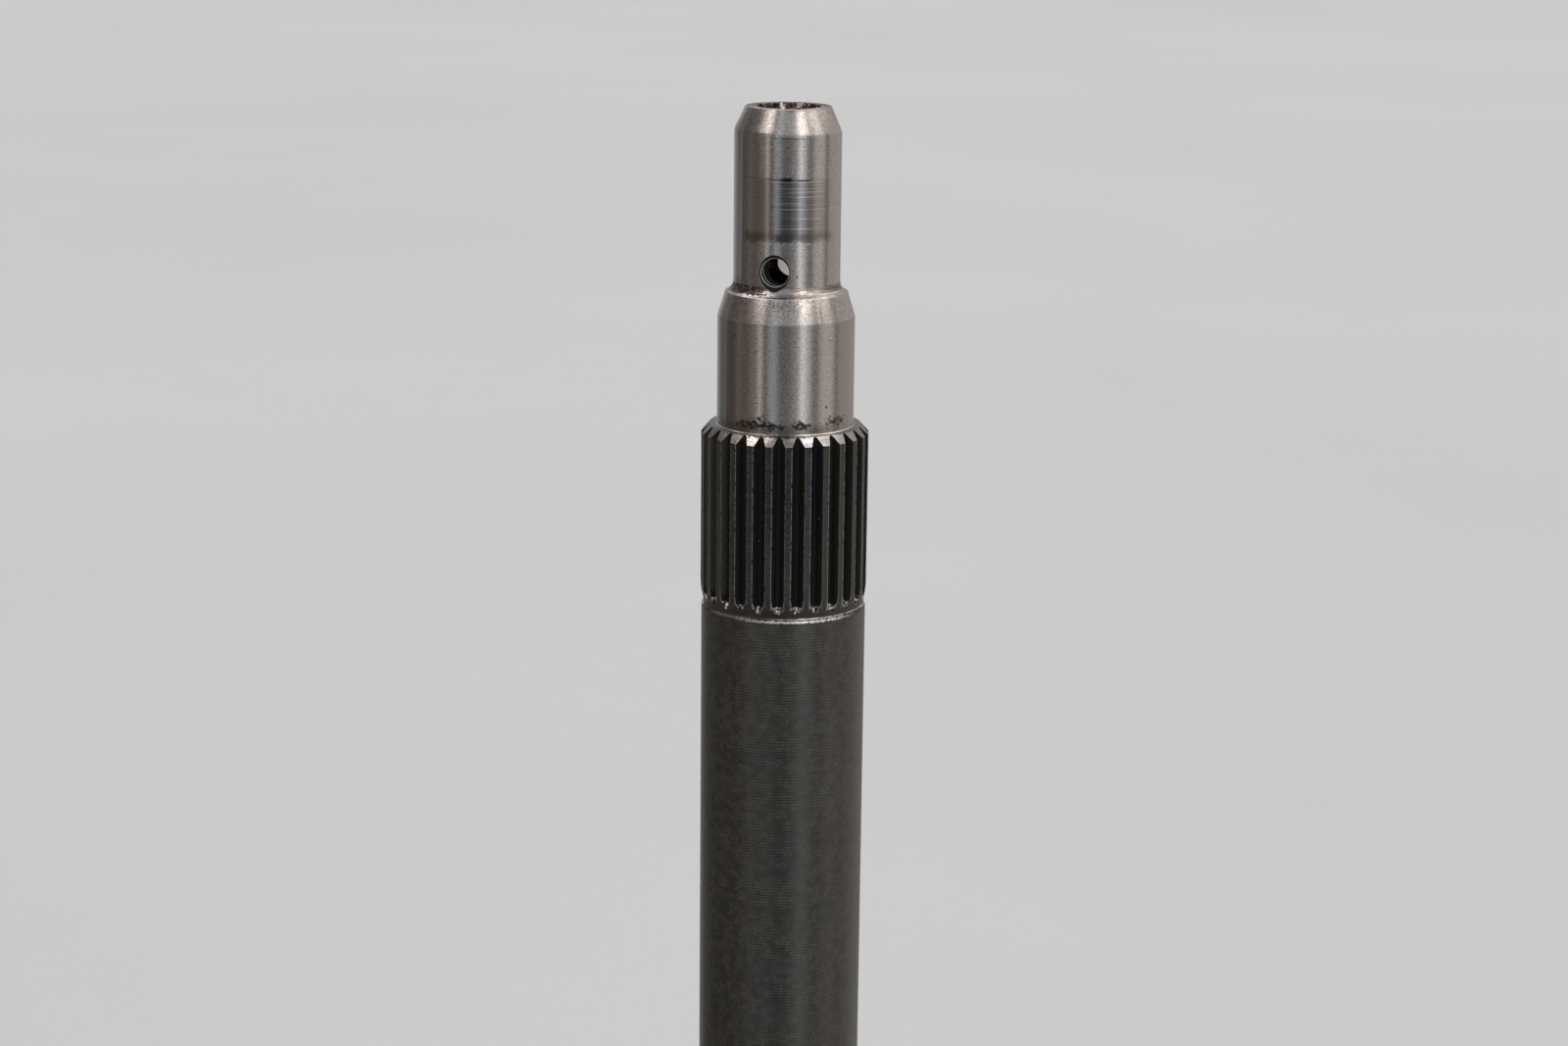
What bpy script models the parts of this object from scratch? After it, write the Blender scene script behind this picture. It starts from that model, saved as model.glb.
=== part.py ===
# Transmission input shaft: one turned bar with a drilled nose, a ground journal
# and an involute spline whose gaps curve out of the steel at their lower ends.
# Metres, +Z up. The origin is the centre of the lower end face, and the nose is on top.

import math

import bmesh
import bpy
from mathutils import Matrix

MM = 0.001

# Lengths along the axis
OVERALL_LENGTH = 300.0 * MM
NOSE_LENGTH = 31.9 * MM
CONE_LENGTH = 4.3 * MM
JOURNAL_LENGTH = 19.1 * MM
SPLINE_LENGTH = 31.7 * MM

# Nose
NOSE_DIAMETER = 18.6 * MM
NOSE_CHAMFER_LENGTH = 4.1 * MM
NOSE_CHAMFER_DEPTH = 1.9 * MM
NOSE_FILLET_RADIUS = 1.9 * MM
NOSE_FILLET_RISE = 1.375 * MM
RIM_LAND = 1.8 * MM

# Nose bore and the oil hole that crosses it
BORE_DIAMETER = 8.6 * MM
BORE_PAST_HOLE = 18.0 * MM
BORE_MOUTH_ANGLE = math.radians(60.0)
DRILL_POINT_ANGLE = math.radians(118.0)
OIL_HOLE_DIAMETER = 4.9 * MM
OIL_HOLE_ABOVE_STEP = 4.7 * MM
OIL_HOLE_MOUTH_DIAMETER = 6.2 * MM

# Journal and bar
JOURNAL_DIAMETER = 24.0 * MM
BAR_DIAMETER = 29.1 * MM
BAR_END_CHAMFER = 1.5 * MM

# Spline: 24/48 diametral pitch, 30 degree pressure angle, full fillet root
TEETH = 27
MODULE = 25.4 / 24.0 * MM
PRESSURE_ANGLE = math.radians(30.0)
ADDENDUM = 0.4125 * MM
DEDENDUM = 0.9525 * MM
SPLINE_CHAMFER_LENGTH = 1.5 * MM
GAP_END_RADIUS = 4.0 * MM
GAP_END_ABOVE_RELIEF = 0.5 * MM
TOOTH_CLOCKING = math.radians(2.7)

# Relief between the spline and the bar
RELIEF_DEPTH = 0.55 * MM
RELIEF_TAPER_LENGTH = 3.7 * MM
RELIEF_FLARE_LENGTH = 1.1 * MM

# Fineness of the facets
STEPS_PER_TOOTH = 4
BORE_STEPS = 48
HOLE_STEPS = 36
ARC_STEPS = 4
FLANK_STEPS = 3
ROOT_STEPS = 3
RUN_OUT_STEPS = 6
CUT_CLEARANCE = 0.5 * MM
SHARP_ANGLE = math.radians(20.0)

# Radii and heights that follow from the sizes above
NOSE_RADIUS = NOSE_DIAMETER / 2
RIM_RADIUS = NOSE_RADIUS - NOSE_CHAMFER_DEPTH
BORE_RADIUS = BORE_DIAMETER / 2
BORE_MOUTH_RADIUS = RIM_RADIUS - RIM_LAND
STEP_RADIUS = NOSE_RADIUS + NOSE_FILLET_RISE
JOURNAL_RADIUS = JOURNAL_DIAMETER / 2
BAR_RADIUS = BAR_DIAMETER / 2
PITCH_RADIUS = MODULE * TEETH / 2
BASE_RADIUS = PITCH_RADIUS * math.cos(PRESSURE_ANGLE)
CREST_RADIUS = PITCH_RADIUS + ADDENDUM
ROOT_RADIUS = PITCH_RADIUS - DEDENDUM
RELIEF_RADIUS = CREST_RADIUS - RELIEF_DEPTH

TOP_Z = OVERALL_LENGTH
STEP_Z = TOP_Z - NOSE_LENGTH
CONE_END_Z = STEP_Z - CONE_LENGTH
SHOULDER_Z = CONE_END_Z - JOURNAL_LENGTH
RELIEF_Z = SHOULDER_Z - SPLINE_LENGTH
BAR_TOP_Z = RELIEF_Z - RELIEF_FLARE_LENGTH
OIL_HOLE_Z = STEP_Z + OIL_HOLE_ABOVE_STEP


def clear_scene():
    for thing in list(bpy.data.objects):
        bpy.data.objects.remove(thing, do_unlink=True)


def new_collection(name):
    collection = bpy.data.collections.new(name)
    bpy.context.scene.collection.children.link(collection)
    return collection


def new_object(name, mesh, collection):
    thing = bpy.data.objects.new(name, mesh)
    collection.objects.link(thing)
    return thing


def turned(name, profile, steps, collection):
    """A profile of (radius, height) points, outer side downwards, spun about Z."""
    mesh = bpy.data.meshes.new(name)
    points = [(radius, 0.0, height) for radius, height in profile]
    edges = [(i, i + 1) for i in range(len(points) - 1)]
    mesh.from_pydata(points, edges, [])
    thing = new_object(name, mesh, collection)
    screw = thing.modifiers.new("turn", "SCREW")
    screw.axis = "Z"
    screw.angle = math.tau
    screw.steps = steps
    screw.render_steps = steps
    screw.use_merge_vertices = True
    screw.merge_threshold = 0.00001
    return thing


def nose_fillet():
    """Concave arc from the nose cylinder down and out to the sharp edge of the step."""
    sweep = math.acos(1 - min(NOSE_FILLET_RISE / NOSE_FILLET_RADIUS, 1.0))
    drop = NOSE_FILLET_RADIUS * math.sin(sweep)
    points = []
    for i in range(ARC_STEPS + 1):
        angle = sweep * i / ARC_STEPS
        radius = NOSE_RADIUS + NOSE_FILLET_RADIUS * (1 - math.cos(angle))
        points.append((radius, STEP_Z + drop - NOSE_FILLET_RADIUS * math.sin(angle)))
    return points


def crest_radius_above(height):
    """Radius of the tooth tops where they curve in, at a height above the relief."""
    arc_radius = (RELIEF_TAPER_LENGTH**2 + RELIEF_DEPTH**2) / (2 * RELIEF_DEPTH)
    along = RELIEF_TAPER_LENGTH - height
    return CREST_RADIUS - arc_radius + math.sqrt(arc_radius**2 - along**2)


def relief_taper():
    """Convex arc that leaves the crests level and ends at the bottom of the relief."""
    heights = [RELIEF_TAPER_LENGTH * (1 - i / ARC_STEPS) for i in range(ARC_STEPS + 1)]
    return [(crest_radius_above(height), RELIEF_Z + height) for height in heights]


def blank_profile():
    profile = [(0.0, TOP_Z), (RIM_RADIUS, TOP_Z)]
    profile.append((NOSE_RADIUS, TOP_Z - NOSE_CHAMFER_LENGTH))
    profile += nose_fillet()
    profile.append((JOURNAL_RADIUS, CONE_END_Z))
    profile.append((JOURNAL_RADIUS, SHOULDER_Z))
    profile.append((ROOT_RADIUS, SHOULDER_Z))
    profile.append((CREST_RADIUS, SHOULDER_Z - SPLINE_CHAMFER_LENGTH))
    profile += relief_taper()
    profile.append((BAR_RADIUS, BAR_TOP_Z))
    profile.append((BAR_RADIUS, BAR_END_CHAMFER))
    profile.append((BAR_RADIUS - BAR_END_CHAMFER, 0.0))
    profile.append((0.0, 0.0))
    return profile


def bore_profile():
    """Drilled bore with a centring cone at its mouth and a drill point at its end."""
    mouth_slope = math.tan(BORE_MOUTH_ANGLE / 2)
    mouth_depth = (BORE_MOUTH_RADIUS - BORE_RADIUS) / mouth_slope
    bottom = OIL_HOLE_Z - BORE_PAST_HOLE
    outside = CUT_CLEARANCE * mouth_slope
    return [
        (0.0, TOP_Z + CUT_CLEARANCE),
        (BORE_MOUTH_RADIUS + outside, TOP_Z + CUT_CLEARANCE),
        (BORE_RADIUS, TOP_Z - mouth_depth),
        (BORE_RADIUS, bottom),
        (0.0, bottom - BORE_RADIUS / math.tan(DRILL_POINT_ANGLE / 2)),
    ]


def oil_hole_profile():
    """Straight hole with a 45 degree countersink where it breaks out on each side."""
    hole = OIL_HOLE_DIAMETER / 2
    mouth = OIL_HOLE_MOUTH_DIAMETER / 2
    straight = NOSE_RADIUS - (mouth - hole)
    reach = NOSE_RADIUS + CUT_CLEARANCE
    wide = mouth + CUT_CLEARANCE
    return [(0.0, reach), (wide, reach), (hole, straight), (hole, -straight), (wide, -reach), (0.0, -reach)]


def involute(angle):
    return math.tan(angle) - angle


def gap_half_angle(radius):
    """Half the angle of a spline gap, seen from the axis, at a radius."""
    at_pitch = math.pi / (2 * TEETH)
    return at_pitch - involute(PRESSURE_ANGLE) + involute(math.acos(BASE_RADIUS / radius))


def flank_point(radius):
    angle = gap_half_angle(radius)
    return radius * math.cos(angle), radius * math.sin(angle)


def root_circle(radius):
    """Circle on the gap's middle line that touches both flanks at this radius."""
    x, y = flank_point(radius)
    slope = gap_half_angle(radius) + math.acos(BASE_RADIUS / radius)
    size = y / math.cos(slope)
    return x + size * math.sin(slope), size, slope


def root_touch_radius():
    """Radius at which the root circle that touches the flanks just reaches the root."""
    low, high = ROOT_RADIUS, CREST_RADIUS
    for _ in range(40):
        middle = (low + high) / 2
        centre, size, _slope = root_circle(middle)
        if centre - size > ROOT_RADIUS:
            high = middle
        else:
            low = middle
    return (low + high) / 2


def gap_outline():
    """Closed outline of one gap about the +X direction, flank, round root, flank."""
    outer = CREST_RADIUS + CUT_CLEARANCE
    touch = root_touch_radius()
    centre, size, slope = root_circle(touch)
    side = []
    for i in range(FLANK_STEPS + 1):
        side.append(flank_point(outer + (touch - outer) * i / FLANK_STEPS))
    for i in range(1, ROOT_STEPS):
        turn = (math.pi / 2 - slope) * (1 - i / ROOT_STEPS)
        side.append((centre - size * math.cos(turn), size * math.sin(turn)))
    return side + [(centre - size, 0.0)] + [(x, -y) for x, y in reversed(side)]


def floor_end_z():
    """Height at which the floor of a gap starts to rise towards the place where it breaks out."""
    rise = crest_radius_above(GAP_END_ABOVE_RELIEF) - ROOT_RADIUS
    run = math.sqrt(GAP_END_RADIUS**2 - (GAP_END_RADIUS - rise) ** 2)
    return RELIEF_Z + GAP_END_ABOVE_RELIEF + run


def gap_cutter():
    """One gap: its outline drawn down the spline, then swung out of the steel in an arc."""
    shape = bmesh.new()
    start = SHOULDER_Z + CUT_CLEARANCE
    outline = [shape.verts.new((x, y, start)) for x, y in gap_outline()]
    face = shape.faces.new(outline)
    drawn = bmesh.ops.extrude_face_region(shape, geom=[face], use_keep_orig=True)
    lower = [v for v in drawn["geom"] if isinstance(v, bmesh.types.BMVert)]
    bmesh.ops.translate(shape, verts=lower, vec=(0, 0, floor_end_z() - start))
    end = [f for f in drawn["geom"] if isinstance(f, bmesh.types.BMFace)]
    arc_centre = (ROOT_RADIUS + GAP_END_RADIUS, 0, floor_end_z())
    depth = CREST_RADIUS + CUT_CLEARANCE - ROOT_RADIUS
    bmesh.ops.spin(
        shape,
        geom=end + end[0].verts[:] + end[0].edges[:],
        cent=arc_centre,
        axis=(0, -1, 0),
        angle=math.acos(1 - depth / GAP_END_RADIUS),
        steps=RUN_OUT_STEPS,
    )
    bmesh.ops.recalc_face_normals(shape, faces=shape.faces[:])
    return shape


def spline_cutter(collection):
    """All the gaps as one cutter, half a pitch either side of the teeth."""
    pitch = math.tau / TEETH
    first = -math.pi / 2 + TOOTH_CLOCKING + pitch / 2
    one_gap = bpy.data.meshes.new("gap")
    shape = gap_cutter()
    shape.to_mesh(one_gap)
    shape.free()
    whole = bmesh.new()
    for i in range(TEETH):
        before = len(whole.verts)
        whole.from_mesh(one_gap)
        whole.verts.ensure_lookup_table()
        turn = Matrix.Rotation(first + i * pitch, 4, "Z")
        bmesh.ops.transform(whole, matrix=turn, verts=whole.verts[before:])
    mesh = bpy.data.meshes.new("spline_gaps")
    whole.to_mesh(mesh)
    whole.free()
    bpy.data.meshes.remove(one_gap)
    return new_object("spline_gaps", mesh, collection)


def cut(thing, cutter):
    cutter.hide_render = True
    cutter.display_type = "WIRE"
    boolean = thing.modifiers.new("cut_" + cutter.name, "BOOLEAN")
    boolean.operation = "DIFFERENCE"
    boolean.solver = "EXACT"
    boolean.object = cutter


def make_real(thing):
    """Keeps the finished mesh in place of the modifiers, round faces smooth and edges sharp."""
    bpy.context.view_layer.update()
    evaluated = thing.evaluated_get(bpy.context.evaluated_depsgraph_get())
    finished = bpy.data.meshes.new_from_object(evaluated)
    thing.modifiers.clear()
    thing.data = finished
    finished.name = thing.name
    finished.shade_smooth()
    finished.set_sharp_from_angle(angle=SHARP_ANGLE)


def steel():
    material = bpy.data.materials.new("turned_steel")
    material.use_nodes = True
    shader = material.node_tree.nodes["Principled BSDF"]
    shader.inputs["Base Color"].default_value = (0.21, 0.19, 0.175, 1.0)
    shader.inputs["Metallic"].default_value = 1.0
    shader.inputs["Roughness"].default_value = 0.38
    return material


def build():
    clear_scene()
    parts = new_collection("transmission_input_shaft")
    cutters = new_collection("cutters")

    shaft = turned("input_shaft", blank_profile(), TEETH * STEPS_PER_TOOTH, parts)
    cut(shaft, spline_cutter(cutters))
    cut(shaft, turned("nose_bore", bore_profile(), BORE_STEPS, cutters))
    oil_hole = turned("oil_hole", oil_hole_profile(), HOLE_STEPS, cutters)
    oil_hole.location.z = OIL_HOLE_Z
    oil_hole.rotation_euler.x = math.pi / 2
    cut(shaft, oil_hole)

    make_real(shaft)
    shaft.data.materials.append(steel())


build()
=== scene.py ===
import math
import bpy
from mathutils import Matrix, Vector, noise


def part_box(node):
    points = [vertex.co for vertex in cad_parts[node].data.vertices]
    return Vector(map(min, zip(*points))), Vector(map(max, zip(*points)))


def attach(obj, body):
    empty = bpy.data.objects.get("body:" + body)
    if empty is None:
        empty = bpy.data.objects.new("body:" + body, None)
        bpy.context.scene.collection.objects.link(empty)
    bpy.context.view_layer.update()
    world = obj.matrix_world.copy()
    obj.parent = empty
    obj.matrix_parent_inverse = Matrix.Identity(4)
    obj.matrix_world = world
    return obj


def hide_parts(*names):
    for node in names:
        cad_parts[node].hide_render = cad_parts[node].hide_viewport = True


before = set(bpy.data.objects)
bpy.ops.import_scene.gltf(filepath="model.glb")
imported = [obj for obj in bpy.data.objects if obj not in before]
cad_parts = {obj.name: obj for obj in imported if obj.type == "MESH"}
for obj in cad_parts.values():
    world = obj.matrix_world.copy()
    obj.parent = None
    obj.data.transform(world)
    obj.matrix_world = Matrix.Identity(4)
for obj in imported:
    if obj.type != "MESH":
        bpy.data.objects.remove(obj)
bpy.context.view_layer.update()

shaftLow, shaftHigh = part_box("input_shaft")
topZ = shaftHigh[2]
millimetre = 0.001
touching = 0.01          # millimetres


# The shaft's sizes in millimetres, drops measured down from the top face
shaftSizes = {
    "facetsPerTooth": 16,
    "boreRadius": 4.3,
    "boreDrop": 45.2,
    "boreTipDepth": 2.58,
    "boreMouthRadius": 5.6,
    "boreMouthDepth": 2.25,
    "rimRadius": 7.4,
    "noseRadius": 9.3,
    "noseChamferDrop": 4.1,
    "noseFilletRadius": 1.9,
    "stepRadius": 10.675,
    "stepDrop": 31.9,
    "journalRadius": 12.0,
    "coneDrop": 36.2,
    "shoulderDrop": 55.3,
    "rootRadius": 13.335,
    "crestRadius": 14.69,
    "crestDrop": 56.8,
    "taperDrop": 83.3,
    "reliefRadius": 14.15,
    "reliefDrop": 87.0,
    "barRadius": 14.55,
    "barDrop": 88.1,
    "endChamfer": 1.5,
    "filletSteps": 8,
    "taperSteps": 8,
    "cornerSteps": 3,
    "mouthSteps": 6,
    "smoothAngle": 35.0,
}

gapSizes = {
    "teeth": 27,
    "pitchRadius": 14.2875,
    "pressureAngle": 30.0,
    "toothClocking": 2.7,
    "flankSteps": 8,
    "rootSteps": 14,
    "endRadius": 4.0,
    "endAboveRelief": 0.5,
    "endSteps": 14,
    "edgeBreak": 0.07,
    "clearance": 0.25,
}

holeSizes = {
    "radius": 2.45,
    "mouthRadius": 3.1,
    "drop": 27.6,
    "facets": 96,
    "overshoot": 0.5,
}


def height(drop):
    return topZ - drop * millimetre


def onlySelect(thing):
    bpy.ops.object.select_all(action="DESELECT")
    thing.select_set(True)
    bpy.context.view_layer.objects.active = thing


def roundedCorner(before, corner, after, radius, steps):
    # points that replace a corner by a small arc
    here = Vector(corner)
    toBefore = (Vector(before) - here).normalized()
    toAfter = (Vector(after) - here).normalized()
    halfAngle = toBefore.angle(toAfter) / 2
    cutBack = radius / math.tan(halfAngle)
    centre = here + (toBefore + toAfter).normalized() * radius / math.sin(halfAngle)
    start = here + toBefore * cutBack - centre
    end = here + toAfter * cutBack - centre
    return [centre + start.lerp(end, i / steps).normalized() * radius for i in range(steps + 1)]


def shaftProfile():
    # radius and drop from the bottom of the bore, over the rim and down to the lower end
    s = shaftSizes
    rise = s["stepRadius"] - s["noseRadius"]
    sweep = math.acos(1 - rise / s["noseFilletRadius"])
    filletTop = s["stepDrop"] - s["noseFilletRadius"] * math.sin(sweep)
    fillet = []
    for i in range(s["filletSteps"]):
        turn = sweep * i / s["filletSteps"]
        radius = s["noseRadius"] + s["noseFilletRadius"] * (1 - math.cos(turn))
        fillet.append((radius, filletTop + s["noseFilletRadius"] * math.sin(turn), 0))
    mouth = []
    for i in range(1, s["mouthSteps"]):
        part = i / s["mouthSteps"]
        radius = s["boreRadius"] + (s["boreMouthRadius"] - s["boreRadius"]) * part
        mouth.append((radius, s["boreMouthDepth"] * (1 - part), 0))
    taper = []
    for i in range(s["taperSteps"]):
        drop = s["taperDrop"] + (s["reliefDrop"] - s["taperDrop"]) * i / s["taperSteps"]
        taper.append((crestRadiusAt(drop), drop, 0))
    endDrop = (topZ - shaftLow[2]) / millimetre
    # radius, drop, size of the broken edge
    corners = [
        (s["boreRadius"], s["boreDrop"], 0),
        (s["boreRadius"], s["boreMouthDepth"], 0),
        *mouth,
        (s["boreMouthRadius"], 0.0, 0.1),
        (s["rimRadius"], 0.0, 0.16),
        (s["noseRadius"], s["noseChamferDrop"], 2.4),
        *fillet,
        (s["stepRadius"], s["stepDrop"], 0.14),
        (s["journalRadius"], s["coneDrop"], 1.6),
        (s["journalRadius"], s["shoulderDrop"], 0.25),
        (s["rootRadius"], s["shoulderDrop"], 0.1),
        (s["crestRadius"], s["crestDrop"], 0.12),
        *taper,
        (s["reliefRadius"], s["reliefDrop"], 0.2),
        (s["barRadius"], s["barDrop"], 0.2),
        (s["barRadius"], endDrop - s["endChamfer"], 0.2),
        (s["barRadius"] - s["endChamfer"], endDrop, 0.15),
        (0.0, endDrop, 0),
    ]
    points = []
    for i, (radius, drop, edge) in enumerate(corners[:-1]):
        if edge:
            before, after = corners[i - 1][:2], corners[i + 1][:2]
            arc = roundedCorner(before, (radius, drop), after, edge, s["cornerSteps"])
            points += [tuple(point) for point in arc]
        else:
            points.append((radius, drop))
    return points


def crestRadiusAt(drop):
    # the tooth tops curve in towards the relief
    s = shaftSizes
    depth = s["crestRadius"] - s["reliefRadius"]
    length = s["reliefDrop"] - s["taperDrop"]
    arc = (length**2 + depth**2) / (2 * depth)
    return s["crestRadius"] - arc + math.sqrt(arc**2 - (drop - s["taperDrop"]) ** 2)


def turnBlank():
    # a disc at the bottom of the bore, its edge drawn out ring by ring
    s = shaftSizes
    profile = shaftProfile()
    radius, drop = profile[0]
    facets = s["facetsPerTooth"] * gapSizes["teeth"]
    bpy.ops.object.select_all(action="DESELECT")
    bpy.ops.mesh.primitive_circle_add(
        vertices=facets,
        radius=radius * millimetre,
        fill_type="TRIFAN",
        location=(0, 0, height(drop)),
        rotation=(0, 0, math.radians(gapSizes["toothClocking"])),
    )
    blank = bpy.context.object
    blank.name = "splinedShaft"
    bpy.ops.object.transform_apply()
    for vertex in blank.data.vertices:
        if vertex.co.xy.length < millimetre:
            vertex.co.z -= s["boreTipDepth"] * millimetre
    bpy.ops.object.mode_set(mode="EDIT")
    bpy.ops.mesh.select_mode(type="EDGE")
    bpy.ops.mesh.select_all(action="DESELECT")
    bpy.ops.mesh.select_non_manifold(extend=False, use_wire=False, use_boundary=True)
    for nextRadius, nextDrop in profile[1:]:
        bpy.ops.mesh.extrude_region_move(
            TRANSFORM_OT_translate={"value": (0, 0, (drop - nextDrop) * millimetre)}
        )
        grow = nextRadius / radius
        bpy.ops.transform.resize(value=(grow, grow, 1), center_override=(0, 0, height(nextDrop)))
        radius, drop = nextRadius, nextDrop
    bpy.ops.mesh.extrude_region_move()
    bpy.ops.mesh.merge(type="CENTER")
    bpy.ops.mesh.select_all(action="SELECT")
    bpy.ops.mesh.normals_make_consistent(inside=False)
    bpy.ops.object.mode_set(mode="OBJECT")
    return blank


wear = {
    "mouthTear": 0.55,
    "tearSize": 0.45,
    "gapEndOffset": 0.05,
    "gapEndDrop": 85.2,
    "gapEndSeed": 11,
    "footTilt": 2.0,         # degrees that the nose chamfer's foot drops towards +X
    "footReach": 0.8,
    "footInside": 0.5,
    "mouthMargin": 0.08,
    "tearLean": 0.5,
    # drop, degrees round from the photo's front, depth and reach of small dings
    "dings": [(4.1, 80, 0.30, 0.9), (1.8, 82, 0.14, 0.6), (31.9, 30, 0.10, 0.5), (4.2, -60, 0.08, 0.8)],
}


def wearBlank(blank):
    # a torn bore mouth, a chamfer foot that runs a little out of true, and dings in the edges
    s, w = shaftSizes, wear
    top = topZ / millimetre
    footDrop = s["noseChamferDrop"]
    onlySelect(blank)
    bpy.ops.object.mode_set(mode="EDIT")
    inside = s["noseRadius"] - w["footInside"]
    selectVertices(
        blank, lambda place: place.xy.length > inside and abs(top - place.z - footDrop) < w["footReach"]
    )
    bpy.ops.transform.rotate(
        value=-math.radians(w["footTilt"]), orient_axis="Y", center_override=(0, 0, height(footDrop))
    )
    bpy.ops.object.mode_set(mode="OBJECT")
    for vertex in blank.data.vertices:
        place = vertex.co / millimetre
        atMouth = place.xy.length < s["boreMouthRadius"] + w["mouthMargin"]
        if atMouth and 0 < place.z - top + s["boreMouthDepth"]:
            tear = max(0, noise.noise(place / w["tearSize"])) * w["mouthTear"]
            away = Vector((place.x, place.y, 0)).normalized() - Vector((0, 0, w["tearLean"]))
            vertex.co += away * tear * millimetre
    for drop, angle, depth, reach in w["dings"]:
        turn = math.radians(cameraView["azimuth"] + angle)
        out = Vector((math.sin(turn), -math.cos(turn), 0))
        for vertex in blank.data.vertices:
            radius = vertex.co.xy.length
            away = (vertex.co - out * radius - Vector((0, 0, height(drop)))).length / millimetre
            if away < reach and radius > s["boreMouthRadius"] * millimetre:
                vertex.co -= out * depth * (1 - (away / reach) ** 2) ** 2 * millimetre


def involute(angle):
    return math.tan(angle) - angle


def pressureAt(radius):
    base = gapSizes["pitchRadius"] * math.cos(math.radians(gapSizes["pressureAngle"]))
    return math.acos(base / radius)


def flankPoint(radius):
    # a point of the gap's left flank, the gap being centred on +X
    quarterPitch = math.pi / (2 * gapSizes["teeth"])
    pitchPressure = math.radians(gapSizes["pressureAngle"])
    turn = quarterPitch - involute(pitchPressure) + involute(pressureAt(radius))
    return radius * math.cos(turn), radius * math.sin(turn)


def rootCircle(radius):
    # centre, size and flank slope of the circle that touches both flanks at a radius
    x, y = flankPoint(radius)
    slope = math.atan2(y, x) + pressureAt(radius)
    size = y / math.cos(slope)
    return x + size * math.sin(slope), size, slope


def rootTouchRadius():
    low, high = shaftSizes["rootRadius"], shaftSizes["crestRadius"]
    for _ in range(40):
        middle = (low + high) / 2
        centre, size, slope = rootCircle(middle)
        if centre - size > shaftSizes["rootRadius"]:
            high = middle
        else:
            low = middle
    return low


def selectVertices(thing, wanted):
    # selects in edit mode the vertices that a test picks by their place in millimetres
    bpy.ops.mesh.select_all(action="DESELECT")
    bpy.ops.mesh.select_mode(type="VERT")
    bpy.ops.object.mode_set(mode="OBJECT")
    for vertex in thing.data.vertices:
        vertex.select = wanted(vertex.co / millimetre)
    bpy.ops.object.mode_set(mode="EDIT")


def makeGapCutter():
    # root arc, flanks drawn out of it, pulled down the spline and swung out at its end
    g = gapSizes
    crest = shaftSizes["crestRadius"]
    touch = rootTouchRadius()
    centre, size, slope = rootCircle(touch)
    start = shaftSizes["shoulderDrop"] - g["clearance"]
    endDrop = shaftSizes["reliefDrop"] - g["endAboveRelief"]
    rise = crestRadiusAt(endDrop) - shaftSizes["rootRadius"]
    floorEnd = endDrop - math.sqrt(g["endRadius"] ** 2 - (g["endRadius"] - rise) ** 2)
    touchX, touchY = flankPoint(touch)
    bpy.ops.object.select_all(action="DESELECT")
    bpy.ops.mesh.primitive_plane_add(size=millimetre)
    cutter = bpy.context.object
    cutter.name = "gapCutter"
    bpy.ops.object.mode_set(mode="EDIT")
    bpy.ops.mesh.select_mode(type="VERT")
    bpy.ops.mesh.merge(type="CENTER")
    firstPoint = (touchX * millimetre, -touchY * millimetre, height(start))
    bpy.ops.transform.translate(value=firstPoint)
    bpy.ops.mesh.spin(
        steps=g["rootSteps"],
        angle=math.pi - 2 * slope,
        center=(centre * millimetre, 0, height(start)),
        axis=(0, 0, 1),
    )
    # Each flank follows the involute, then breaks the tooth's edge and clears the crest
    flank = []
    for i in range(g["flankSteps"] + 1):
        flank.append(flankPoint(touch + (crest - g["edgeBreak"] - touch) * i / g["flankSteps"]))
    lastX, lastY = flank[-1]
    clear = g["edgeBreak"] + g["clearance"]
    flank.append((lastX + clear, lastY + clear))
    for side in (1, -1):
        selectVertices(cutter, lambda place: math.hypot(place.x - touchX, place.y - side * touchY) < touching)
        for here, there in zip(flank, flank[1:]):
            step = ((there[0] - here[0]) * millimetre, side * (there[1] - here[1]) * millimetre, 0)
            bpy.ops.mesh.extrude_region_move(TRANSFORM_OT_translate={"value": step})
    selectVertices(cutter, lambda place: place.x > flank[-1][0] - touching)
    bpy.ops.mesh.edge_face_add()
    bpy.ops.mesh.select_all(action="SELECT")
    bpy.ops.mesh.edge_face_add()
    bpy.ops.mesh.select_all(action="SELECT")
    bpy.ops.mesh.extrude_region_move(
        TRANSFORM_OT_translate={"value": (0, 0, (start - floorEnd) * millimetre)}
    )
    depth = flank[-1][0] - shaftSizes["rootRadius"]
    bpy.ops.mesh.spin(
        steps=g["endSteps"],
        angle=math.acos(1 - depth / g["endRadius"]),
        center=((shaftSizes["rootRadius"] + g["endRadius"]) * millimetre, 0, height(floorEnd)),
        axis=(0, 1, 0),
    )
    bpy.ops.mesh.select_all(action="SELECT")
    bpy.ops.mesh.normals_make_consistent(inside=False)
    bpy.ops.object.mode_set(mode="OBJECT")
    return cutter


def repeatGaps(cutter):
    # turned half a pitch away from a tooth, then repeated round the shaft
    teeth = gapSizes["teeth"]
    pitch = math.tau / teeth
    onlySelect(cutter)
    cutter.rotation_euler.z = -math.pi / 2 + math.radians(gapSizes["toothClocking"]) + pitch / 2
    bpy.ops.object.transform_apply()
    bpy.ops.object.mode_set(mode="EDIT")
    bpy.ops.mesh.select_all(action="SELECT")
    bpy.ops.mesh.spin(dupli=True, steps=teeth - 1, angle=math.tau - pitch, center=(0, 0, 0), axis=(0, 0, 1))
    bpy.ops.object.mode_set(mode="OBJECT")
    return cutter


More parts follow.
